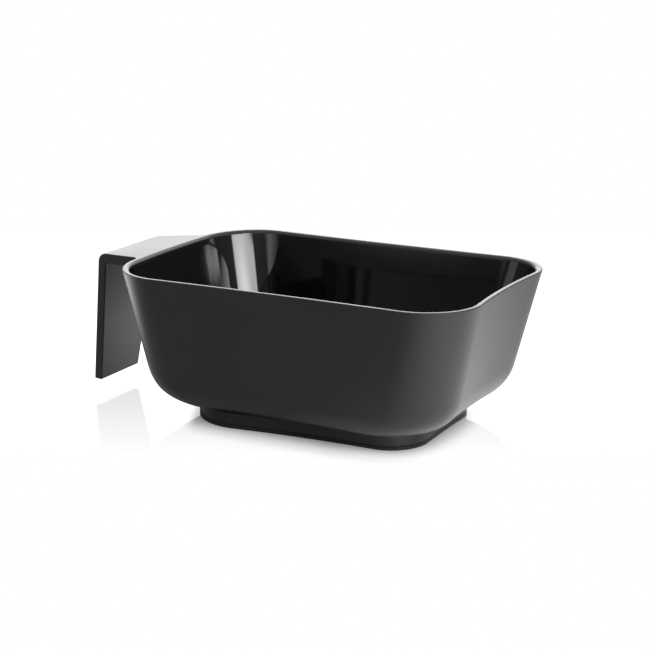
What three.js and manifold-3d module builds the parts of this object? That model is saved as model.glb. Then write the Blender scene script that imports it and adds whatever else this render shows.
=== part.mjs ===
// Hair colour bowl: a one-piece moulded tint bowl with a folded hook handle, standing on a rubber non-slip ring.
// Millimetres, +Z up, handle towards -X. The origin is on the table, under the middle of the overall length.

import * as THREE from 'three';
import { mergeVertices } from 'three/addons/utils/BufferGeometryUtils.js';
import Module from 'manifold-3d';

const wasm = await Module();
wasm.setup();

const DEGREE = Math.PI / 180;

// Overall sizes of the bowl
const HEIGHT = 51.3;
const HALF_LENGTH = 65;
const WALL = 2.1;
const FLOOR = 2.2;
const BASE_Z = 5.5;
const FLOOR_Z = BASE_Z + FLOOR;
const LIP_ROUND = 1.1;

// Walls: draft from vertical and the round between wall and base, at the two ends and on the two long sides
const END_DRAFT = 12.9 * DEGREE;
const END_ROUND = 16.5;
const SIDE_DRAFT = 8.2 * DEGREE;
const SIDE_ROUND = 8.8;

// The core that forms the inside leans a little more at the sides and has a tighter round there
const CORE_SIDE_DRAFT = 10.2 * DEGREE;
const CORE_SIDE_ROUND = 3.9;

// Plan outlines. A bow is how far the middle of a side stands out from its ends, so a negative bow is a hollow side.
const RIM = {
  halfLength: HALF_LENGTH,
  handleHalfWidth: 44.3,
  farHalfWidth: 43.5,
  handleCorner: 21.7,
  farCorner: 19.6,
  sideBow: -0.67,
  handleBow: 0.7,
  farBow: -1.1,
};
const BASE_SHAPE = { handleCorner: 17, farCorner: 17.5, sideBow: -0.9, handleBow: 0.7, farBow: -0.6 };
const CORE_BASE_SHAPE = { ...BASE_SHAPE, handleCorner: 18.5, farCorner: 19.7 };

// Plinth under the bowl, which the rubber ring grips
const PLINTH = {
  halfLength: 40.7,
  handleHalfWidth: 29.1,
  farHalfWidth: 26.3,
  handleCorner: 20,
  farCorner: 13,
  sideBow: -0.9,
  handleBow: 0,
  farBow: -0.2,
};
const PLINTH_BOTTOM = 1.5;
const PLINTH_THICKNESS = 2.2;

// Rubber ring: a band around the plinth with a flat tread turned in under it
const FIT_GAP = 0.3;
const RING_BAND = 2;
const RING_HEIGHT = BASE_Z - FIT_GAP;
const TREAD = PLINTH_BOTTOM - FIT_GAP;
const TREAD_WIDTH = 9;
const RING_SPLAY = { handleHalfWidth: 2, farHalfWidth: -0.9, farCorner: -2 };
const RING_LEAN = 0.6;
const GROOVE_DEPTH = 0.4;
const GROOVE_WIDTH = 0.8;
const GROOVE_INSETS = [2.6, 6.2];

// Hook handle: a top plate level with the rim, folded down into a plate that splays outwards. Its front edge is
// straight, and its back edge runs in from the bowl to the bend and on to the bottom.
const HANDLE_REACH = 81.9;
const HANDLE_BOTTOM = 5.1;
const HANDLE_SPLAY = 4.5 * DEGREE;
const TOP_PLATE = 3.6;
const GRIP_PLATE = 3;
const BEND_ROUND = 3.1;
const HANDLE_ROOT = -HALF_LENGTH + 2 * WALL;
const HANDLE_FRONT = -19.3;
const HANDLE_BACK = { atBowl: 23.4, atBend: 13, atBottom: 4.2 };

// Fineness of the curves
const SIDE_STEPS = 6;
const CORNER_STEPS = 8;
const WALL_LEVELS = 8;
const LIP_LEVELS = 3;
const BEND_STEPS = 6;

// Length of a Bezier handle that makes a quarter circle of radius 1
const CIRCLE_HANDLE = 0.5523;

// Points closer than this are one point, and cutting shapes run past what they cut by the overshoot
const SAME_POINT = 1e-4;
const OVERSHOOT = 2;

// ---- Solids ----

function toSolid(geometry) {
  const bare = geometry.clone();
  bare.deleteAttribute('normal');
  bare.deleteAttribute('uv');
  const merged = mergeVertices(bare, SAME_POINT);
  return new wasm.Manifold(new wasm.Mesh({
    numProp: 3,
    vertProperties: Float32Array.from(merged.attributes.position.array),
    triVerts: Uint32Array.from(merged.index.array),
  }));
}

function toGeometry(solid) {
  const mesh = solid.getMesh();
  const geometry = new THREE.BufferGeometry();
  geometry.setAttribute('position', new THREE.BufferAttribute(mesh.vertProperties, 3));
  geometry.setIndex(new THREE.BufferAttribute(mesh.triVerts, 1));
  geometry.computeVertexNormals();
  return geometry;
}

// Joins rings of points, listed upwards, into a closed solid with a flat cap at each end.
function loft(rings) {
  const count = rings[0].length;
  const points = rings.flat();
  const triangles = [];
  for (let level = 0; level < rings.length - 1; level++) {
    for (let i = 0; i < count; i++) {
      const a = level * count + i;
      const b = level * count + (i + 1) % count;
      triangles.push(a, b, b + count, a, b + count, a + count);
    }
  }
  const low = points.push(new THREE.Vector3(0, 0, rings[0][0].z)) - 1;
  const high = points.push(new THREE.Vector3(0, 0, rings.at(-1)[0].z)) - 1;
  const lastRing = (rings.length - 1) * count;
  for (let i = 0; i < count; i++) {
    const next = (i + 1) % count;
    triangles.push(low, next, i, high, lastRing + i, lastRing + next);
  }
  const geometry = new THREE.BufferGeometry().setFromPoints(points);
  geometry.setIndex(triangles);
  return toSolid(geometry);
}

// ---- Plan outlines ----

// A four-sided outline with bowed sides and rounded corners, anticlockwise seen from above.
function outlinePath(size) {
  const { halfLength, handleHalfWidth, farHalfWidth, handleCorner, farCorner } = size;
  const sides = [
    { from: [-halfLength, -handleHalfWidth], to: [halfLength, -farHalfWidth], bow: size.sideBow },
    { from: [halfLength, -farHalfWidth], to: [halfLength, farHalfWidth], bow: size.farBow },
    { from: [halfLength, farHalfWidth], to: [-halfLength, handleHalfWidth], bow: size.sideBow },
    { from: [-halfLength, handleHalfWidth], to: [-halfLength, -handleHalfWidth], bow: size.handleBow },
  ];
  const corners = [handleCorner, farCorner, farCorner, handleCorner];
  const runs = sides.map((side, i) => {
    const from = new THREE.Vector2(...side.from);
    const to = new THREE.Vector2(...side.to);
    const along = to.clone().sub(from).normalize();
    const outward = new THREE.Vector2(along.y, -along.x);
    const start = from.addScaledVector(along, corners[i]);
    const end = to.addScaledVector(along, -corners[(i + 1) % 4]);
    const pull = start.clone().add(end).multiplyScalar(0.5).addScaledVector(outward, 2 * side.bow);
    return { start, end, pull };
  });
  const path = new THREE.Path();
  path.moveTo(runs[0].start.x, runs[0].start.y);
  runs.forEach((run, i) => {
    const next = runs[(i + 1) % 4];
    const reach = CIRCLE_HANDLE * corners[(i + 1) % 4];
    const leave = run.end.clone().sub(run.pull).setLength(reach).add(run.end);
    const arrive = next.start.clone().sub(next.pull).setLength(reach).add(next.start);
    path.quadraticCurveTo(run.pull.x, run.pull.y, run.end.x, run.end.y);
    path.bezierCurveTo(leave.x, leave.y, arrive.x, arrive.y, next.start.x, next.start.y);
  });
  return path;
}

function outlinePoints(size) {
  return outlinePath(size).curves.flatMap((curve, i) => {
    const steps = i % 2 === 0 ? SIDE_STEPS : CORNER_STEPS;
    return curve.getPoints(steps).slice(0, steps);
  });
}

function ringAt(size, z, shift = 0) {
  return outlinePoints(size).map((point) => new THREE.Vector3(point.x + shift, point.y, z));
}

function insetOutline(size, inset) {
  return {
    ...size,
    halfLength: size.halfLength - inset,
    handleHalfWidth: size.handleHalfWidth - inset,
    farHalfWidth: size.farHalfWidth - inset,
    handleCorner: size.handleCorner - inset,
    farCorner: size.farCorner - inset,
  };
}

function prism(size, low, high, shift = 0) {
  return loft([ringAt(size, low, shift), ringAt(size, high, shift)]);
}

// ---- Bowl ----

// How far a drafted wall has come in from the rim at height z, with its round onto the base.
function wallInset(z, draft, round, baseZ) {
  const centreZ = baseZ + round;
  const tangentZ = centreZ - round * Math.sin(draft);
  if (z >= tangentZ) return Math.tan(draft) * (HEIGHT - z);
  const centreInset = Math.tan(draft) * (HEIGHT - tangentZ) + round * Math.cos(draft);
  const drop = Math.min(centreZ - z, round);
  return centreInset - Math.sqrt(round * round - drop * drop);
}

// The rim's outline brought in at the ends and sides, with corners and bows on their way to the base's.
function walledOutline(z, endInset, sideInset, baseShape, skin) {
  const down = (HEIGHT - z) / (HEIGHT - BASE_Z);
  const blend = (name) => RIM[name] + (baseShape[name] - RIM[name]) * down;
  return {
    halfLength: RIM.halfLength - endInset,
    handleHalfWidth: RIM.handleHalfWidth - sideInset,
    farHalfWidth: RIM.farHalfWidth - sideInset,
    handleCorner: blend('handleCorner') - skin,
    farCorner: blend('farCorner') - skin,
    sideBow: blend('sideBow'),
    handleBow: blend('handleBow'),
    farBow: blend('farBow'),
  };
}

function outsideOutline(z) {
  const endInset = wallInset(z, END_DRAFT, END_ROUND, BASE_Z);
  const sideInset = wallInset(z, SIDE_DRAFT, SIDE_ROUND, BASE_Z);
  return walledOutline(z, endInset, sideInset, BASE_SHAPE, 0);
}

function insideOutline(z) {
  const endInset = wallInset(z, END_DRAFT, END_ROUND - WALL, FLOOR_Z) + WALL / Math.cos(END_DRAFT);
  const sideInset = wallInset(z, CORE_SIDE_DRAFT, CORE_SIDE_ROUND, FLOOR_Z) + WALL / Math.cos(CORE_SIDE_DRAFT);
  return walledOutline(z, endInset, sideInset, CORE_BASE_SHAPE, WALL);
}

// Heights of the rings of a drafted wall: close together round the base, then one long straight run.
function wallHeights(baseZ, round, topZ) {
  const turns = Array.from({ length: WALL_LEVELS + 1 }, (_, i) => i / WALL_LEVELS);
  const rounded = turns.map((t) => baseZ + round * (1 - Math.cos(t * (Math.PI / 2 - END_DRAFT))));
  return [...rounded, topZ];
}

function outerBody() {
  return loft(wallHeights(BASE_Z, END_ROUND, HEIGHT).map((z) => ringAt(outsideOutline(z), z)));
}

// The space inside the bowl, with the rounded inner edge of the lip, carried on above the rim.
function cavity() {
  const lipStart = HEIGHT - LIP_ROUND;
  const rings = wallHeights(FLOOR_Z, END_ROUND - WALL, lipStart).map((z) => ringAt(insideOutline(z), z));
  for (let level = 1; level <= LIP_LEVELS; level++) {
    const turn = Math.PI / 2 * level / LIP_LEVELS;
    const z = lipStart + LIP_ROUND * Math.sin(turn);
    const spread = LIP_ROUND * (1 - Math.cos(turn));
    rings.push(ringAt(insetOutline(insideOutline(z), -spread), z));
  }
  const brim = insetOutline(insideOutline(HEIGHT), -LIP_ROUND);
  rings.push(ringAt(brim, HEIGHT + OVERSHOOT));
  return loft(rings);
}

function plinth() {
  const embed = BASE_Z + FLOOR / 2;
  const outside = prism(PLINTH, PLINTH_BOTTOM, embed);
  const inside = prism(insetOutline(PLINTH, PLINTH_THICKNESS), PLINTH_BOTTOM - OVERSHOOT, BASE_Z);
  return outside.subtract(inside);
}

// ---- Handle ----

const PLATE_UNDERSIDE = HEIGHT - TOP_PLATE;
const INNER_BEND = 1;

// Side view of the folded plate, drawn with x along the bowl and y up.
function handleProfile() {
  const centreX = -HANDLE_REACH + BEND_ROUND;
  const centreY = HEIGHT - BEND_ROUND;
  const faceAngle = Math.PI - HANDLE_SPLAY;
  const bendX = centreX + BEND_ROUND * Math.cos(faceAngle);
  const bendY = centreY + BEND_ROUND * Math.sin(faceAngle);
  const outsideX = (y) => bendX - Math.tan(HANDLE_SPLAY) * (bendY - y);
  const insideX = (y) => outsideX(y) + GRIP_PLATE / Math.cos(HANDLE_SPLAY);
  const innerCorner = insideX(PLATE_UNDERSIDE);
  const bendStart = PLATE_UNDERSIDE - INNER_BEND;
  const profile = new THREE.Shape();
  profile.moveTo(HANDLE_ROOT, HEIGHT);
  profile.lineTo(centreX, HEIGHT);
  profile.absarc(centreX, centreY, BEND_ROUND, Math.PI / 2, faceAngle, false);
  profile.lineTo(outsideX(HANDLE_BOTTOM), HANDLE_BOTTOM);
  profile.lineTo(insideX(HANDLE_BOTTOM), HANDLE_BOTTOM);
  profile.lineTo(insideX(bendStart), bendStart);
  profile.quadraticCurveTo(innerCorner, PLATE_UNDERSIDE, innerCorner + INNER_BEND, PLATE_UNDERSIDE);
  profile.lineTo(HANDLE_ROOT, PLATE_UNDERSIDE);
  return profile;
}

function extruded(shape, depth) {
  return new THREE.ExtrudeGeometry(shape, { depth, bevelEnabled: false, curveSegments: BEND_STEPS });
}

// The folded plate, trimmed to its plan and to its shape seen from the end.
function handle() {
  const farAway = HANDLE_REACH + HALF_LENGTH;
  const tall = HEIGHT + OVERSHOOT;
  const plate = extruded(handleProfile(), farAway).rotateX(Math.PI / 2).translate(0, HANDLE_FRONT + farAway, 0);
  const plan = new THREE.Shape([
    new THREE.Vector2(-farAway, HANDLE_FRONT),
    new THREE.Vector2(HANDLE_ROOT, HANDLE_FRONT),
    new THREE.Vector2(HANDLE_ROOT, HANDLE_BACK.atBowl),
    new THREE.Vector2(-HALF_LENGTH, HANDLE_BACK.atBowl),
    new THREE.Vector2(-HANDLE_REACH, HANDLE_BACK.atBend),
    new THREE.Vector2(-farAway, HANDLE_BACK.atBend),
  ]);
  const elevation = new THREE.Shape([
    new THREE.Vector2(HANDLE_FRONT, 0),
    new THREE.Vector2(HANDLE_BACK.atBottom, 0),
    new THREE.Vector2(HANDLE_BACK.atBottom, HANDLE_BOTTOM),
    new THREE.Vector2(HANDLE_BACK.atBend, PLATE_UNDERSIDE),
    new THREE.Vector2(HANDLE_BACK.atBowl, PLATE_UNDERSIDE),
    new THREE.Vector2(HANDLE_BACK.atBowl, tall),
    new THREE.Vector2(HANDLE_FRONT, tall),
  ]);
  const planPrism = toSolid(extruded(plan, tall));
  const elevationGeometry = extruded(elevation, farAway).rotateX(Math.PI / 2).rotateZ(Math.PI / 2);
  return toSolid(plate).intersect(planPrism).intersect(toSolid(elevationGeometry.translate(-farAway, 0, 0)));
}

function bowl() {
  return outerBody().add(plinth()).add(handle()).subtract(cavity());
}

// ---- Non-slip ring ----

function nonSlipRing() {
  const top = insetOutline(PLINTH, -FIT_GAP - RING_BAND);
  const bottom = {
    ...top,
    handleHalfWidth: top.handleHalfWidth + RING_SPLAY.handleHalfWidth,
    farHalfWidth: top.farHalfWidth + RING_SPLAY.farHalfWidth,
    farCorner: top.farCorner + RING_SPLAY.farCorner,
  };
  const treadPrism = (inset, low, high) => prism(insetOutline(bottom, inset), low, high, RING_LEAN);
  const outside = loft([ringAt(bottom, 0, RING_LEAN), ringAt(top, RING_HEIGHT)]);
  const seat = prism(insetOutline(PLINTH, -FIT_GAP), TREAD, HEIGHT);
  let ring = outside.subtract(seat).subtract(treadPrism(TREAD_WIDTH, -OVERSHOOT, HEIGHT));
  for (const inset of GROOVE_INSETS) {
    const grooveOutside = treadPrism(inset, -OVERSHOOT, GROOVE_DEPTH);
    const grooveInside = treadPrism(inset + GROOVE_WIDTH, -2 * OVERSHOOT, HEIGHT);
    ring = ring.subtract(grooveOutside.subtract(grooveInside));
  }
  return ring;
}

// ---- Assembly ----

function part(name, solid, material) {
  const mesh = new THREE.Mesh(toGeometry(solid), new THREE.MeshStandardMaterial(material));
  mesh.name = name;
  return mesh;
}

const group = new THREE.Group();
group.add(part('bowl', bowl(), { color: 0x2c2c2d, roughness: 0.42, metalness: 0 }));
group.add(part('non_slip_ring', nonSlipRing(), { color: 0x141415, roughness: 0.75, metalness: 0 }));

const footprint = new THREE.Box3().setFromObject(group).getCenter(new THREE.Vector3());
group.position.set(-footprint.x, -footprint.y, 0);

export default group;
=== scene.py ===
"""Looks of a salon hair colour bowl: a moulded black bowl with a hook handle, on a rubber non-slip ring."""

import math

import bpy
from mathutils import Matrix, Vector


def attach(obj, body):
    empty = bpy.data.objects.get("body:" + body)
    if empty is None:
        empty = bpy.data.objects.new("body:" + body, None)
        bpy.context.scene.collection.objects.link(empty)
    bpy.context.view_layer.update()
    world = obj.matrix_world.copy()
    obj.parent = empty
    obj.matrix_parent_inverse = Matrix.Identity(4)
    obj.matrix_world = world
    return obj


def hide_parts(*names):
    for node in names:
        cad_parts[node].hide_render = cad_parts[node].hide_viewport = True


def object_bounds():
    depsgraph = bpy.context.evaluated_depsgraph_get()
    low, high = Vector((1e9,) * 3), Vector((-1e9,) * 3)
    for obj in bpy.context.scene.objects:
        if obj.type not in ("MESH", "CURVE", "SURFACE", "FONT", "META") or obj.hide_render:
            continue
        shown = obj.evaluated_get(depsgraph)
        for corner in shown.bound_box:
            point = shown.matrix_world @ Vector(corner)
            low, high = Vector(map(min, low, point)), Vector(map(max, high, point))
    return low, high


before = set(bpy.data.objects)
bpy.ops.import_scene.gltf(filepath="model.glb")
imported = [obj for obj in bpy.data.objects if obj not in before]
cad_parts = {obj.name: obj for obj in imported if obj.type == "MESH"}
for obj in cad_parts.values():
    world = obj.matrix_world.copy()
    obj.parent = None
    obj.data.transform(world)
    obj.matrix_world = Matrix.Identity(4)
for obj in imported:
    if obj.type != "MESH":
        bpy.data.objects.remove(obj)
CAD_LOW, CAD_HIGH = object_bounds()

MM = 0.001

# Driving sizes of the bowl, in millimetres, as the CAD frame has them
HEIGHT = (CAD_HIGH.z - CAD_LOW.z) / MM
HALF_LENGTH = 65.0
WALL = 2.1
FLOOR = 2.2
BASE_Z = 5.5
LIP_ROUND = 1.1
RIM_EDGE_ROUND = 0.45

# How far the form of the inside goes on above the rim
OVERSHOOT = 2.0

# A narrow strip of wall under the lip, which keeps the lip's smooth shading off the polished wall below it
LIP_MARGIN = 0.1

# The middle of the bowl's plan, which the outlines are drawn around
CENTRE_X = CAD_HIGH.x / MM - HALF_LENGTH

# Walls: draft of the ends and sides, and the round they run onto the base with
END_DRAFT = math.radians(12.9)
END_ROUND = 16.5
SIDE_DRAFT = math.radians(8.2)
SIDE_ROUND = 8.8

# The core that forms the inside leans a little more at the sides and has a tighter round there
CORE_SIDE_DRAFT = math.radians(10.2)
CORE_SIDE_ROUND = 3.9

RIM = dict(
    half_length=HALF_LENGTH,
    handle_half_width=44.3,
    far_half_width=43.5,
    handle_corner=21.7,
    far_corner=19.6,
    side_bow=-0.67,
    handle_bow=0.7,
    far_bow=-1.1,
)
BASE_SHAPE = dict(handle_corner=17.0, far_corner=17.5, side_bow=-0.9, handle_bow=0.7, far_bow=-0.6)
CORE_BASE_SHAPE = dict(handle_corner=18.5, far_corner=19.7, side_bow=-0.9, handle_bow=0.7, far_bow=-0.6)

# The foot under the base, which the ring grips
PLINTH = dict(
    half_length=40.7,
    handle_half_width=29.1,
    far_half_width=26.3,
    handle_corner=20.0,
    far_corner=13.0,
    side_bow=-0.9,
    handle_bow=0.0,
    far_bow=-0.2,
)
PLINTH_BOTTOM = 1.5
PLINTH_THICKNESS = 2.2
PLINTH_EDGE = 0.35
HOLLOW_CORNER = 0.3

# The handle leaves the rim level and folds down. Its edges are given as y, its reach and root from the middle
HANDLE_REACH = 81.9
HANDLE_BOTTOM = 5.1
HANDLE_SPLAY = math.radians(4.5)
HANDLE_ROOT = -60.8
TOP_PLATE = 3.6
GRIP_PLATE = 3.0
BEND_ROUND = 3.1
HANDLE_FRONT = -19.3
BACK_AT_BOWL = 23.4
BACK_AT_BEND = 13.0
BACK_AT_BOTTOM = 4.2
HANDLE_FILLET = 1.4
OUTER_EDGE_ROUND = 0.4
INNER_EDGE_ROUND = 0.7
SMALLEST_ROUND = 0.02

# How far the bowed end wall stands out where the handle meets it
BOW_AT_HANDLE = 0.4

# Steps that curves and long straight stretches are divided into
SIDE_STEPS = 22
CORNER_STEPS = 22
BASE_ROUND_STEPS = 26
WALL_STEPS = 12
LIP_STEPS = 8
EDGE_STEPS = 5
FILLET_STEPS = 10
BEND_STEPS = 14
GRIP_STEPS = 12

# How much the fillet's stations crowd towards the wall, where it is steepest
FILLET_CROWDING = 1.6

# Share of the corner's size that a cubic curve is pulled by to pass for a quarter circle
QUARTER_CIRCLE_PULL = 0.5523


# ---- Outlines and lofts -------------------------------------------------------------------------


def quadratic(start, pull, end, t):
    return start * (1 - t) ** 2 + pull * (2 * t * (1 - t)) + end * t**2


def cubic(start, leave, arrive, end, t):
    u = 1 - t
    return start * u**3 + leave * (3 * u * u * t) + arrive * (3 * u * t * t) + end * t**3


def outline(size):
    """Points of a four-sided outline with bowed sides and rounded corners, anticlockwise from above."""
    x = size["half_length"]
    yh, yf = size["handle_half_width"], size["far_half_width"]
    sharp = [Vector((-x, -yh)), Vector((x, -yf)), Vector((x, yf)), Vector((-x, yh))]
    corners = [size["handle_corner"], size["far_corner"], size["far_corner"], size["handle_corner"]]
    bows = [size["side_bow"], size["far_bow"], size["side_bow"], size["handle_bow"]]
    runs = []
    for i in range(4):
        along = (sharp[(i + 1) % 4] - sharp[i]).normalized()
        outward = Vector((along.y, -along.x))
        start = sharp[i] + along * corners[i]
        end = sharp[(i + 1) % 4] - along * corners[(i + 1) % 4]
        runs.append((start, (start + end) / 2 + outward * (2 * bows[i]), end))
    points = []
    for i, (start, pull, end) in enumerate(runs):
        after, after_pull, _ = runs[(i + 1) % 4]
        reach = QUARTER_CIRCLE_PULL * corners[(i + 1) % 4]
        leave = end + (end - pull).normalized() * reach
        arrive = after + (after - after_pull).normalized() * reach
        points += [quadratic(start, pull, end, k / SIDE_STEPS) for k in range(SIDE_STEPS)]
        points += [cubic(end, leave, arrive, after, k / CORNER_STEPS) for k in range(CORNER_STEPS)]
    return points


def inset(size, distance):
    """The outline size moved in by a distance, or out where the distance is negative."""
    moved = dict(size)
    for name in ("half_length", "handle_half_width", "far_half_width", "handle_corner", "far_corner"):
        moved[name] = size[name] - distance
    return moved


def ring_at(size, z, shift=0.0):
    return [Vector((p.x + shift, p.y, z)) for p in outline(size)]


def loft_mesh(name, rings, closed=False):
    """A mesh through rings of points. A closed loft runs back to its first ring, an open one has caps."""
    count = len(rings[0])
    points = [p for ring in rings for p in ring]
    faces = []
    spans = len(rings) if closed else len(rings) - 1
    for level in range(spans):
        low, high = level * count, ((level + 1) % len(rings)) * count
        for i in range(count):
            j = (i + 1) % count
            faces.append((low + i, low + j, high + j, high + i))
    if not closed:
        faces.append(tuple(reversed(range(count))))
        faces.append(tuple((len(rings) - 1) * count + i for i in range(count)))
    mesh = bpy.data.meshes.new(name)
    mesh.from_pydata([((p.x + CENTRE_X) * MM, p.y * MM, p.z * MM) for p in points], [], faces)
    mesh.update()
    return mesh


def add_object(name, mesh):
    piece = bpy.data.objects.new(name, mesh)
    bpy.context.scene.collection.objects.link(piece)
    return piece


def quarter(steps):
    """Angles of a quarter turn in equal steps, without its start."""
    return [math.pi / 2 * (k + 1) / steps for k in range(steps)]


# ---- Bowl ---------------------------------------------------------------------------------------


def wall_inset(z, draft, round_radius, base_z):
    """How far a drafted wall has come in from the rim at height z, with its round onto the base."""
    centre_z = base_z + round_radius
    tangent_z = centre_z - round_radius * math.sin(draft)
    if z >= tangent_z:
        return math.tan(draft) * (HEIGHT - z)
    centre_inset = math.tan(draft) * (HEIGHT - tangent_z) + round_radius * math.cos(draft)
    drop = min(centre_z - z, round_radius)
    return centre_inset - math.sqrt(round_radius**2 - drop**2)


def walled_outline(z, end, side, base_shape, skin=0.0):
    """The rim's outline brought in at the ends and sides, with corners and bows part way to the base's."""
    down = (HEIGHT - z) / (HEIGHT - BASE_Z)
    shape = {name: RIM[name] + (low - RIM[name]) * down for name, low in base_shape.items()}
    shape["handle_corner"] -= skin
    shape["far_corner"] -= skin
    shape["half_length"] = RIM["half_length"] - end
    shape["handle_half_width"] = RIM["handle_half_width"] - side
    shape["far_half_width"] = RIM["far_half_width"] - side
    return shape


def outside_outline(z):
    end = wall_inset(z, END_DRAFT, END_ROUND, BASE_Z)
    side = wall_inset(z, SIDE_DRAFT, SIDE_ROUND, BASE_Z)
    return walled_outline(z, end, side, BASE_SHAPE)


def inside_outline(z):
    floor_z = BASE_Z + FLOOR
    end = wall_inset(z, END_DRAFT, END_ROUND - WALL, floor_z) + WALL / math.cos(END_DRAFT)
    side = wall_inset(z, CORE_SIDE_DRAFT, CORE_SIDE_ROUND, floor_z) + WALL / math.cos(CORE_SIDE_DRAFT)
    return walled_outline(z, end, side, CORE_BASE_SHAPE, WALL)


def wall_heights(base_z, round_radius, top_z):
    """Heights of the rings of a drafted wall: close round the base, then evenly up to the rim."""
    sweep = math.pi / 2 - END_DRAFT
    angles = [sweep * k / BASE_ROUND_STEPS for k in range(BASE_ROUND_STEPS + 1)]
    heights = [base_z + round_radius * (1 - math.cos(angle)) for angle in angles]
    start = heights[-1]
    return heights + [start + (top_z - start) * (k + 1) / WALL_STEPS for k in range(WALL_STEPS)]


def outer_mesh():
    """Outside of the bowl: hollow under the base, plinth, wall and the round on the rim's outer edge."""
    rings = [ring_at(inset(PLINTH, PLINTH_THICKNESS + HOLLOW_CORNER), BASE_Z)]
    rings.append(ring_at(inset(PLINTH, PLINTH_THICKNESS), BASE_Z - HOLLOW_CORNER))
    rings.append(ring_at(inset(PLINTH, PLINTH_THICKNESS), PLINTH_BOTTOM + PLINTH_EDGE))
    rings.append(ring_at(inset(PLINTH, PLINTH_THICKNESS - PLINTH_EDGE), PLINTH_BOTTOM))
    rings.append(ring_at(inset(PLINTH, PLINTH_EDGE), PLINTH_BOTTOM))
    rings.append(ring_at(PLINTH, PLINTH_BOTTOM + PLINTH_EDGE))
    rings.append(ring_at(PLINTH, BASE_Z))
    edge_start = HEIGHT - RIM_EDGE_ROUND
    for z in wall_heights(BASE_Z, END_ROUND, edge_start):
        rings.append(ring_at(outside_outline(z), z))
    for angle in quarter(EDGE_STEPS):
        z = edge_start + RIM_EDGE_ROUND * math.sin(angle)
        tucked = RIM_EDGE_ROUND * (1 - math.cos(angle))
        rings.append(ring_at(inset(outside_outline(z), tucked), z))
    return loft_mesh("outer", rings)


def cavity_mesh():
    """The space inside the bowl, with the rounded inner edge of the lip, carried on above the rim."""
    floor_z = BASE_Z + FLOOR
    lip_start = HEIGHT - LIP_ROUND
    rings = []
    for z in wall_heights(floor_z, END_ROUND - WALL, lip_start - LIP_MARGIN) + [lip_start]:
        rings.append(ring_at(inside_outline(z), z))
    for angle in quarter(LIP_STEPS):
        z = lip_start + LIP_ROUND * math.sin(angle)
        spread = LIP_ROUND * (1 - math.cos(angle))
        rings.append(ring_at(inset(inside_outline(z), -spread), z))
    brim = inset(inside_outline(HEIGHT), -LIP_ROUND)
    rings.append(ring_at(brim, HEIGHT + OVERSHOOT))
    return loft_mesh("cavity", rings)


# ---- Handle -------------------------------------------------------------------------------------


def fillet(distance, radius):
    """How far a concave fillet stands out at a distance from the wall it runs into."""
    if distance <= 0:
        return radius
    if distance >= radius:
        return 0.0
    return radius - math.sqrt(radius**2 - (radius - distance) ** 2)


def handle_stations():
    """Stations down the folded plate: outer face point, outward normal, thickness and the two edges' y."""
    centre_x, centre_z = -HANDLE_REACH + BEND_ROUND, HEIGHT - BEND_ROUND
    turn = math.pi / 2 - HANDLE_SPLAY
    top_slope = (BACK_AT_BOWL - BACK_AT_BEND) / (HANDLE_REACH - HALF_LENGTH)
    grip_top = centre_z + BEND_ROUND * math.sin(HANDLE_SPLAY)
    grip_slope = (BACK_AT_BEND - BACK_AT_BOTTOM) / (grip_top - HANDLE_BOTTOM)
    stations = []

    def add(x, z, normal_angle, thickness, flare):
        back = BACK_AT_BEND + top_slope * max(0.0, min(x, -HALF_LENGTH) + HANDLE_REACH)
        back -= grip_slope * max(0.0, grip_top - z)
        stations.append((x, z, normal_angle, thickness + flare, HANDLE_FRONT - flare, back + flare))

    upward = math.pi / 2
    wall_x = -HALF_LENGTH - BOW_AT_HANDLE
    add(HANDLE_ROOT, HEIGHT, upward, TOP_PLATE, HANDLE_FILLET)
    for k in range(FILLET_STEPS + 1):
        distance = HANDLE_FILLET * (k / FILLET_STEPS) ** FILLET_CROWDING
        add(wall_x - distance, HEIGHT, upward, TOP_PLATE, fillet(distance, HANDLE_FILLET))
    for k in range(BEND_STEPS + 1):
        part = k / BEND_STEPS
        angle = upward + turn * part
        x = centre_x + BEND_ROUND * math.cos(angle)
        z = centre_z + BEND_ROUND * math.sin(angle)
        add(x, z, angle, TOP_PLATE + (GRIP_PLATE - TOP_PLATE) * part, 0.0)
    x, z, angle = stations[-1][:3]
    for k in range(GRIP_STEPS):
        down = (z - HANDLE_BOTTOM - OUTER_EDGE_ROUND) * (k + 1) / GRIP_STEPS
        add(x - math.tan(HANDLE_SPLAY) * down, z - down, angle, GRIP_PLATE, 0.0)
    return stations


def plate_section(station, shrink=0.0, drop=0.0):
    """One ring round the plate: a rectangle with rounded corners, square to the plate."""
    x, z, angle, thickness, front, back = station
    normal = Vector((math.cos(angle), 0, math.sin(angle)))
    along = Vector((-normal.z, 0, normal.x))
    start = Vector((x, 0, z)) + along * drop
    ring = []
    for is_back, is_outer, from_angle in ((0, 1, 90), (0, 0, 180), (1, 0, 270), (1, 1, 0)):
        radius = max((OUTER_EDGE_ROUND if is_outer else INNER_EDGE_ROUND) - shrink, SMALLEST_ROUND)
        y = back - shrink - radius if is_back else front + shrink + radius
        depth = -shrink - radius if is_outer else -thickness + shrink + radius
        for k in range(EDGE_STEPS + 1):
            turned = math.radians(from_angle + 90 * k / EDGE_STEPS)
            across = Vector((0, y + radius * math.cos(turned), 0))
            ring.append(start + across + normal * (depth + radius * math.sin(turned)))
    return ring


def handle_mesh():
    """The folded plate from inside the wall to its bottom edge, which is rounded."""
    stations = handle_stations()
    rings = [plate_section(station) for station in stations]
    for angle in quarter(EDGE_STEPS):
        shrink = OUTER_EDGE_ROUND * (1 - math.cos(angle))
        rings.append(plate_section(stations[-1], shrink, OUTER_EDGE_ROUND * math.sin(angle)))
    return loft_mesh("handle", rings)


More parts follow.
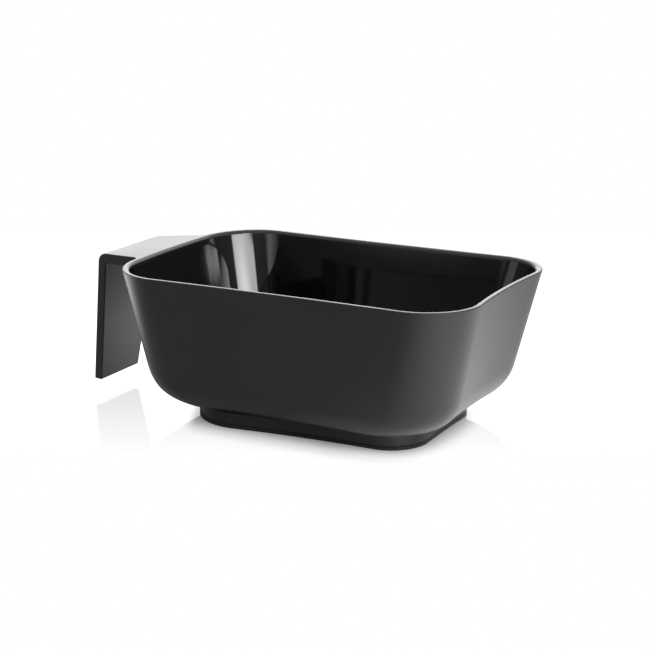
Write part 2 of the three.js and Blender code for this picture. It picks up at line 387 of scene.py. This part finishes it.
def combine(base, other, operation):
    """Joins other to base, or cuts it away, and leaves only base."""
    change = base.modifiers.new("combine", "BOOLEAN")
    change.operation = operation
    change.object = other
    change.solver = "EXACT"
    change.material_mode = "TRANSFER"
    bpy.context.view_layer.update()
    done = bpy.data.meshes.new_from_object(base.evaluated_get(bpy.context.evaluated_depsgraph_get()))
    base.modifiers.clear()
    base.data = done
    bpy.data.objects.remove(other)


def shade(piece, sharp_degrees):
    """Smooth shading that keeps flat faces flat, with edges sharper than an angle left hard."""
    mesh = piece.data
    mesh.polygons.foreach_set("use_smooth", [True] * len(mesh.polygons))
    mesh.set_sharp_from_angle(angle=math.radians(sharp_degrees))
    weighted = piece.modifiers.new("even_normals", "WEIGHTED_NORMAL")
    weighted.keep_sharp = True
    weighted.weight = 60


def finish_cavity(cavity, inside_finish, lip_finish):
    """Gives the inside its finish up to the lip, and the lip its own."""
    cavity.data.materials.append(inside_finish)
    cavity.data.materials.append(lip_finish)
    lip_start = (HEIGHT - LIP_ROUND) * MM
    for face in cavity.data.polygons:
        face.material_index = 1 if face.center.z > lip_start else 0


def build_bowl():
    """The moulding: bowl and handle in one, satin outside and on the lip, and polished inside."""
    outside_finish, inside_finish = satin_plastic(), polished_plastic()
    bowl = add_object("bowl_moulding", outer_mesh())
    handle = add_object("handle_form", handle_mesh())
    cavity = add_object("cavity_form", cavity_mesh())
    bowl.data.materials.append(outside_finish)
    handle.data.materials.append(outside_finish)
    finish_cavity(cavity, inside_finish, outside_finish)
    combine(bowl, handle, "UNION")
    combine(bowl, cavity, "DIFFERENCE")
    shade(bowl, sharp_degrees=40)
    return bowl


# ---- Non-slip ring ------------------------------------------------------------------------------

# The band stands round the plinth, and the tread runs under it
RING_BAND = 2.3
RING_TOP = BASE_Z - 0.1
TREAD_TOP = 1.35
TREAD_WIDTH = 9.0

# How much the outline changes from the band's top down to the table, and how far it moves to the far end
RING_SPLAY = dict(handle_half_width=2.0, far_half_width=-0.9, far_corner=-2.0)
RING_LEAN = 0.6

# Heights and depths of the two fine lines round the outside
TREAD_LINE = 1.25
TREAD_LINE_DEPTH = 0.28
BAND_LINE = 3.1
BAND_LINE_DEPTH = 0.05
BAND_LINE_HALF = 0.12

# Grooves under the tread, from and to these distances in from the outer face
TREAD_GROOVES = ((7.0, 6.2), (3.4, 2.6))
GROOVE_DEPTH = 0.4
GROOVE_SLANT = 0.1
TREAD_EDGE = 0.3


def ring_outline(distance, z):
    """The ring's outline at height z, moved in from its outer face by a distance."""
    size = inset(PLINTH, -RING_BAND + distance)
    low = 1 - z / RING_TOP
    for name, splay in RING_SPLAY.items():
        size[name] += splay * low
    return size


def ring_profile():
    """The ring's cross-section as (distance in from the outer face, height), starting up the outside."""
    # Rounded bottom edge, and the tread's outer face
    points = [(0.45, 0.0), (0.2, 0.1), (0.1, 0.3), (0.08, TREAD_LINE - 0.15)]

    # The line between tread and band
    points += [(0.14, TREAD_LINE - 0.07), (TREAD_LINE_DEPTH, TREAD_LINE)]
    points += [(0.12, TREAD_LINE + 0.07), (0.04, TREAD_LINE + 0.15), (0.0, TREAD_LINE + 0.6)]

    # The line round the band
    points += [(0.0, BAND_LINE - BAND_LINE_HALF), (BAND_LINE_DEPTH, BAND_LINE)]
    points += [(0.0, BAND_LINE + BAND_LINE_HALF)]

    # The band's top, with both edges rounded, and its inner face
    points += [(0.0, RING_TOP - 0.5), (0.1, RING_TOP - 0.2), (0.35, RING_TOP)]
    points += [(RING_BAND - 0.4, RING_TOP), (RING_BAND - 0.15, RING_TOP - 0.2)]
    points += [(RING_BAND - 0.1, TREAD_TOP)]

    # The tread's inner edge, and the grooves on the way back underneath
    points += [(TREAD_WIDTH - TREAD_EDGE, TREAD_TOP), (TREAD_WIDTH, TREAD_TOP - TREAD_EDGE)]
    points += [(TREAD_WIDTH, TREAD_EDGE), (TREAD_WIDTH - TREAD_EDGE, 0.0)]
    for start, end in TREAD_GROOVES:
        points += [(start, 0.0), (start - GROOVE_SLANT, GROOVE_DEPTH)]
        points += [(end + GROOVE_SLANT, GROOVE_DEPTH), (end, 0.0)]
    return points


def build_ring():
    rings = []
    for distance, z in ring_profile():
        lean = RING_LEAN * (1 - z / RING_TOP)
        rings.append(ring_at(ring_outline(distance, z), z, lean))
    ring = add_object("non_slip_ring_rubber", loft_mesh("non_slip_ring_rubber", rings, closed=True))
    ring.data.materials.append(ring_rubber())
    shade(ring, sharp_degrees=35)
    return ring


# ---- Materials ----------------------------------------------------------------------------------

SATIN_ROUGHNESS = 0.36
PLASTIC_IOR = 1.53
RUBBER_IOR = 1.42


class Nodes:
    """The node tree of a material or world, with short ways to add and join nodes."""

    def __init__(self, name, owner=None):
        self.owner = owner or bpy.data.materials.new(name)
        self.owner.use_nodes = True
        self.tree = self.owner.node_tree
        self.tree.nodes.clear()

    def add(self, kind, **settings):
        node = self.tree.nodes.new(kind)
        for name, value in settings.items():
            setattr(node, name, value)
        return node

    def link(self, source, target):
        self.tree.links.new(source, target)

    def noise(self, scale, detail, roughness):
        coordinates = self.add("ShaderNodeTexCoord")
        noise = self.add("ShaderNodeTexNoise")
        noise.inputs["Scale"].default_value = scale
        noise.inputs["Detail"].default_value = detail
        noise.inputs["Roughness"].default_value = roughness
        self.link(coordinates.outputs["Object"], noise.inputs["Vector"])
        return noise.outputs["Fac"]

    def spread(self, source, low, high, from_low=0.3, from_high=0.7):
        """Maps a value onto a range and holds it there. Noise mostly stays between 0.3 and 0.7."""
        node = self.add("ShaderNodeMapRange")
        node.inputs["From Min"].default_value = from_low
        node.inputs["From Max"].default_value = from_high
        node.inputs["To Min"].default_value = low
        node.inputs["To Max"].default_value = high
        self.link(source, node.inputs["Value"])
        return node.outputs["Result"]

    def rise(self, source, start, end):
        """0 before the start, 1 past the end and even between them."""
        return self.spread(source, 0.0, 1.0, start, end)

    def colours(self, source, low, high):
        node = self.add("ShaderNodeMix", data_type="RGBA")
        node.inputs["A"].default_value = (*low, 1)
        node.inputs["B"].default_value = (*high, 1)
        self.link(source, node.inputs["Factor"])
        return node.outputs["Result"]

    def bump(self, height, distance_mm, strength):
        node = self.add("ShaderNodeBump")
        node.inputs["Distance"].default_value = distance_mm * MM
        node.inputs["Strength"].default_value = strength
        self.link(height, node.inputs["Height"])
        return node.outputs["Normal"]

    def surface(self, colour, roughness, normal, ior):
        shader = self.add("ShaderNodeBsdfPrincipled")
        shader.inputs["IOR"].default_value = ior
        self.link(colour, shader.inputs["Base Color"])
        self.link(roughness, shader.inputs["Roughness"])
        self.link(normal, shader.inputs["Normal"])
        self.finish(shader.outputs["BSDF"])

    def blend(self, factor, low, high):
        """Goes from low to high with the factor. Both may be numbers or outputs of nodes."""
        node = self.add("ShaderNodeMix", data_type="FLOAT")
        self.link(factor, node.inputs["Factor"])
        for name, value in (("A", low), ("B", high)):
            if isinstance(value, bpy.types.NodeSocket):
                self.link(value, node.inputs[name])
            else:
                node.inputs[name].default_value = value
        return node.outputs["Result"]

    def mix(self, factor, first, second):
        """The first shader where the factor is 0, the second where it is 1."""
        node = self.add("ShaderNodeMixShader")
        self.link(factor, node.inputs[0])
        self.link(first, node.inputs[1])
        self.link(second, node.inputs[2])
        return node.outputs[0]

    def finish(self, shader, output="ShaderNodeOutputMaterial"):
        self.link(shader, self.add(output).inputs["Surface"])


def satin_plastic():
    """Outside of the moulding: black plastic with the fine spark-eroded grain of a textured mould."""
    nodes = Nodes("satin_black_plastic")
    grain = nodes.noise(scale=3200, detail=3.0, roughness=0.6)
    cloud = nodes.noise(scale=28, detail=3.0, roughness=0.55)
    shade_of_black = nodes.spread(cloud, 0.0, 1.0)
    colour = nodes.colours(shade_of_black, low=(0.0045, 0.0045, 0.0046), high=(0.0065, 0.0065, 0.0066))
    roughness = nodes.spread(cloud, SATIN_ROUGHNESS - 0.03, SATIN_ROUGHNESS + 0.03)
    normal = nodes.bump(grain, distance_mm=0.02, strength=0.35)
    nodes.surface(colour, roughness, normal, PLASTIC_IOR)
    return nodes.owner


def polished_plastic():
    """Inside of the bowl: the same plastic off a polished core, as faintly wavy as a moulded wall is."""
    nodes = Nodes("polished_black_plastic")
    wave = nodes.noise(scale=22, detail=1.0, roughness=0.4)
    haze = nodes.noise(scale=160, detail=3.0, roughness=0.6)
    shade_of_black = nodes.spread(haze, 0.0, 1.0)
    colour = nodes.colours(shade_of_black, low=(0.0022, 0.0022, 0.0022), high=(0.003, 0.003, 0.003))
    roughness = nodes.spread(haze, 0.04, 0.07)
    normal = nodes.bump(wave, distance_mm=0.4, strength=0.05)
    nodes.surface(colour, roughness, normal, PLASTIC_IOR)
    return nodes.owner


def ring_rubber():
    """Soft black rubber: smooth and matte, with a slightly uneven skin."""
    nodes = Nodes("black_rubber")
    grain = nodes.noise(scale=1500, detail=4.0, roughness=0.65)
    cloud = nodes.noise(scale=60, detail=3.0, roughness=0.6)
    shade_of_black = nodes.spread(cloud, 0.0, 1.0)
    colour = nodes.colours(shade_of_black, low=(0.0025, 0.0025, 0.0025), high=(0.004, 0.004, 0.004))
    roughness = nodes.spread(cloud, 0.38, 0.48)
    normal = nodes.bump(grain, distance_mm=0.03, strength=0.4)
    nodes.surface(colour, roughness, normal, RUBBER_IOR)
    return nodes.owner


# ---- Studio -------------------------------------------------------------------------------------

# Camera, in metres from the middle of the bowl on the table, and degrees
CAMERA_PLACE = Vector((0.2521, -0.4800, 0.1773))
CAMERA_PITCH = 15.11
CAMERA_YAW = 27.92
CAMERA_LENS = 91.4
BOWL_MIDDLE = Vector((CENTRE_X * MM, 0, 0))

# Softboxes, placed in degrees as the bowl sees them: azimuth 0 is straight behind it, 90 to its right
SOFTBOX_DISTANCE = 3.0
SOFTBOXES = dict(
    backdrop=dict(azimuth=-3, elevation=14, width=46, height=32, radiance=3.6, soft=0.25),
    backdrop_high=dict(azimuth=-3, elevation=38, width=46, height=22, radiance=2.4, soft=0.3),
    backdrop_right=dict(azimuth=38, elevation=26, width=38, height=26, radiance=1.5, soft=0.2),
    lip_light=dict(azimuth=44, elevation=30, width=24, height=14, radiance=2.6, soft=0.25),
    right_high=dict(azimuth=102, elevation=36, width=44, height=28, radiance=1.1, soft=0.3),
    right_low=dict(azimuth=84, elevation=4, width=30, height=9, radiance=1.25, soft=0.2),
    front_strip=dict(azimuth=147.8, elevation=13.5, width=48.5, height=9, radiance=8.5, soft=0.07),
    front_glow=dict(azimuth=142, elevation=14, width=40, height=9, radiance=6.5, soft=0.5),
    front_lamp=dict(azimuth=157.5, elevation=18.9, width=24, height=1.8, radiance=44.0, soft=0.25),
    front_left=dict(azimuth=-144, elevation=12.5, width=32, height=7, radiance=0.8, soft=0.25),
    left_low=dict(azimuth=-100, elevation=9.5, width=27, height=6, radiance=0.8, soft=0.25),
    left_glow=dict(azimuth=-140, elevation=10.0, width=46, height=7, radiance=0.75, soft=0.3),
    behind_camera=dict(azimuth=180, elevation=21, width=24, height=7, radiance=0.95, soft=0.15),
)

# Brightness of the backdrop as the camera sees it
BACKDROP = 1.05

# Brightness of the room near the floor, at mid height and overhead. It changes between these upward parts of
# the direction looked in
ROOM_LOW = 0.08
ROOM_MIDDLE = 0.7
ROOM_HIGH = 1.2
MIDDLE_RISE = (0.05, 0.4)
HIGH_RISE = (0.55, 0.8)

# Places on the floor are in metres from the bowl's middle, to the right and behind, as the camera sees it

# Brightness of the floor as the bowl's surfaces see it, and where it changes
FLOOR_GLOW = dict(front_left=0.4, front_right=1.77, back_left=2.2, back_right=0.8)
GLOW_BEHIND_LEFT = (0.02, 0.085)
GLOW_BEHIND_RIGHT = (-0.02, 0.10)
GLOW_ACROSS = (-0.02, 0.065)

# Contact shadow: how far it looks for things above, its brightness where they are closest, and how open the
# floor has to be for the shadow to start fading and to be gone, on the left and on the right
SHADOW_REACH = 0.025
SHADOW_DARKEST = 0.03
SHADOW_FADE_START = 0.08
SHADOW_GONE_LEFT = 0.62
SHADOW_GONE_RIGHT = 0.36
SHADOW_ACROSS = (0.0, 0.03)

# No shadow shows to the left of this stretch
SHADOW_LEFT_END = (-0.051, -0.046)

# Reflection in the floor: its greatest strength, and where it rises and falls again, going back
SHEEN_ROUGHNESS = 0.04
SHEEN_STRENGTH = 0.24
SHEEN_RISE = (-0.0444, 0.027)
SHEEN_FALL = (0.1, 0.3)

FLOOR_HALF_SIZE = 12.0


def build_camera():
    data = bpy.data.cameras.new("camera")
    data.sensor_width = 36
    data.lens = CAMERA_LENS
    data.clip_start = 0.01
    data.clip_end = 50
    camera = bpy.data.objects.new("camera", data)
    bpy.context.scene.collection.objects.link(camera)
    camera.location = BOWL_MIDDLE + CAMERA_PLACE
    camera.rotation_euler = (math.radians(90 - CAMERA_PITCH), 0, math.radians(CAMERA_YAW))
    bpy.context.scene.camera = camera
    return camera


def build_rig(camera):
    """An empty that turns with the camera's heading, so that the lights stay as on a turntable."""
    rig = bpy.data.objects.new("light_rig", None)
    bpy.context.scene.collection.objects.link(rig)
    rig.location = BOWL_MIDDLE
    follow = rig.constraints.new("COPY_ROTATION")
    follow.target = camera
    follow.use_x = False
    follow.use_y = False
    return rig


def edge_ramp(tree, place, soft):
    """0 at both edges of a softbox, and 1 further in than a share of its size."""
    # 0 at both edges and 0.5 in the middle
    inward = tree.nodes.new("ShaderNodeMath")
    inward.operation = "PINGPONG"
    inward.inputs[1].default_value = 0.5
    tree.links.new(place, inward.inputs[0])
    ramp = tree.nodes.new("ShaderNodeMapRange")
    ramp.interpolation_type = "SMOOTHSTEP"
    ramp.inputs["From Max"].default_value = soft
    tree.links.new(inward.outputs[0], ramp.inputs["Value"])
    return ramp.outputs["Result"]


def fade_edges(light, soft):
    """Lets a softbox fall off towards its edges, over a share of its width and height."""
    tree = light.node_tree
    glow = next(node for node in tree.nodes if node.type == "EMISSION")
    geometry = tree.nodes.new("ShaderNodeNewGeometry")
    split = tree.nodes.new("ShaderNodeSeparateXYZ")
    tree.links.new(geometry.outputs["Parametric"], split.inputs[0])
    both = tree.nodes.new("ShaderNodeMath")
    both.operation = "MULTIPLY"
    for axis, factor in zip("XY", both.inputs):
        tree.links.new(edge_ramp(tree, split.outputs[axis], soft), factor)
    tree.links.new(both.outputs[0], glow.inputs["Strength"])


def softbox(rig, name, azimuth, elevation, width, height, radiance, soft):
    """A flat light facing the bowl. All angles are in degrees, radiance is what a mirror would show."""
    data = bpy.data.lights.new(name, "AREA")
    data.shape = "RECTANGLE"
    data.size = 2 * SOFTBOX_DISTANCE * math.tan(math.radians(width / 2))
    data.size_y = 2 * SOFTBOX_DISTANCE * math.tan(math.radians(height / 2))
    data.energy = radiance * data.size * data.size_y * math.pi
    data.use_nodes = True
    fade_edges(data, soft)
    light = bpy.data.objects.new(name, data)
    bpy.context.scene.collection.objects.link(light)
    light.parent = rig
    turn, rise = math.radians(azimuth), math.radians(elevation)
    aim = Vector((math.sin(turn) * math.cos(rise), math.cos(turn) * math.cos(rise), math.sin(rise)))
    light.location = aim * SOFTBOX_DISTANCE + Vector((0, 0, HEIGHT * MM / 2))
    light.rotation_euler = (-aim).to_track_quat("-Z", "Y").to_euler()
    light.visible_camera = False


def build_world():
    """A white backdrop for the camera, and for everything else a room that is brighter overhead."""
    nodes = Nodes("studio", bpy.data.worlds.new("studio"))
    bpy.context.scene.world = nodes.owner
    ray = nodes.add("ShaderNodeTexCoord")
    split = nodes.add("ShaderNodeSeparateXYZ")
    nodes.link(ray.outputs["Generated"], split.inputs[0])
    low = nodes.spread(split.outputs["Z"], ROOM_LOW, ROOM_MIDDLE, *MIDDLE_RISE)
    high = nodes.rise(split.outputs["Z"], *HIGH_RISE)
    room = nodes.add("ShaderNodeBackground")
    nodes.link(nodes.blend(high, low, ROOM_HIGH), room.inputs["Strength"])
    backdrop = nodes.add("ShaderNodeBackground")
    backdrop.inputs["Color"].default_value = (1, 1, 1, 1)
    backdrop.inputs["Strength"].default_value = BACKDROP
    path = nodes.add("ShaderNodeLightPath")
    seen = nodes.mix(path.outputs["Is Camera Ray"], room.outputs[0], backdrop.outputs[0])
    nodes.finish(seen, "ShaderNodeOutputWorld")


def floor_glow(nodes, right_of, behind):
    """Brightness of the floor as the bowl sees it: dim at the front left, brighter elsewhere."""
    left = nodes.blend(
        nodes.rise(behind, *GLOW_BEHIND_LEFT),
        FLOOR_GLOW["front_left"],
        FLOOR_GLOW["back_left"],
    )
    right = nodes.blend(
        nodes.rise(behind, *GLOW_BEHIND_RIGHT),
        FLOOR_GLOW["front_right"],
        FLOOR_GLOW["back_right"],
    )
    return nodes.blend(nodes.rise(right_of, *GLOW_ACROSS), left, right)


def contact_shadow(nodes, right_of):
    """Brightness of the floor round what stands on it, with a shadow that reaches further on the left."""
    contact = nodes.add("ShaderNodeAmbientOcclusion", samples=16)
    contact.inputs["Distance"].default_value = SHADOW_REACH
    wide, narrow = (
        nodes.spread(contact.outputs["AO"], SHADOW_DARKEST, 1.0, SHADOW_FADE_START, gone)
        for gone in (SHADOW_GONE_LEFT, SHADOW_GONE_RIGHT)
    )
    return nodes.blend(nodes.rise(right_of, *SHADOW_ACROSS), wide, narrow)


def floor_as_seen(nodes, under, right_of, behind):
    """The floor for the camera: pale, with the contact shadow and a faint reflection."""
    pale = nodes.add("ShaderNodeEmission")
    shadow = nodes.blend(nodes.rise(right_of, *SHADOW_LEFT_END), 1.0, under)
    nodes.link(shadow, pale.inputs["Strength"])
    sheen = nodes.add("ShaderNodeBsdfGlossy")
    sheen.inputs["Roughness"].default_value = SHEEN_ROUGHNESS
    near = nodes.spread(behind, 0.0, SHEEN_STRENGTH, *SHEEN_RISE)
    share = nodes.blend(nodes.rise(behind, *SHEEN_FALL), near, 0.0)
    return nodes.mix(share, pale.outputs[0], sheen.outputs[0])


def floor_material(rig):
    """A floor that melts into the backdrop for the camera, glows for the bowl and is clear from below."""
    nodes = Nodes("pale_floor")
    place = nodes.add("ShaderNodeTexCoord", object=rig)
    split = nodes.add("ShaderNodeSeparateXYZ")
    nodes.link(place.outputs["Object"], split.inputs[0])
    right_of, behind = split.outputs["X"], split.outputs["Y"]

    under = contact_shadow(nodes, right_of)
    glow = nodes.add("ShaderNodeEmission")
    dimmed = nodes.add("ShaderNodeMath", operation="MULTIPLY")
    nodes.link(floor_glow(nodes, right_of, behind), dimmed.inputs[0])
    nodes.link(under, dimmed.inputs[1])
    nodes.link(dimmed.outputs[0], glow.inputs["Strength"])

    path = nodes.add("ShaderNodeLightPath")
    side = nodes.add("ShaderNodeNewGeometry")
    clear = nodes.add("ShaderNodeBsdfTransparent")
    seen = floor_as_seen(nodes, under, right_of, behind)
    above = nodes.mix(path.outputs["Is Camera Ray"], glow.outputs[0], seen)
    nodes.finish(nodes.mix(side.outputs["Backfacing"], above, clear.outputs[0]))
    return nodes.owner


def build_floor(rig):
    size = FLOOR_HALF_SIZE
    mesh = bpy.data.meshes.new("floor")
    corners = [(-size, -size, 0), (size, -size, 0), (size, size, 0), (-size, size, 0)]
    mesh.from_pydata(corners, [], [(0, 1, 2, 3)])
    floor = add_object("floor", mesh)
    floor.data.materials.append(floor_material(rig))


def build_studio():
    camera = build_camera()
    rig = build_rig(camera)
    for name, box in SOFTBOXES.items():
        softbox(rig, name, **box)
    build_world()
    build_floor(rig)
    view = bpy.context.scene.view_settings
    view.view_transform = "Standard"
    view.look = "None"


PIECES = [
    (build_bowl, "bowl", "bowl_plastic"),
    (build_ring, "non_slip_ring", "ring_rubber"),
]
for build, node, plastic in PIECES:
    piece = build()
    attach(piece, "root")
    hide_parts(node)

build_studio()
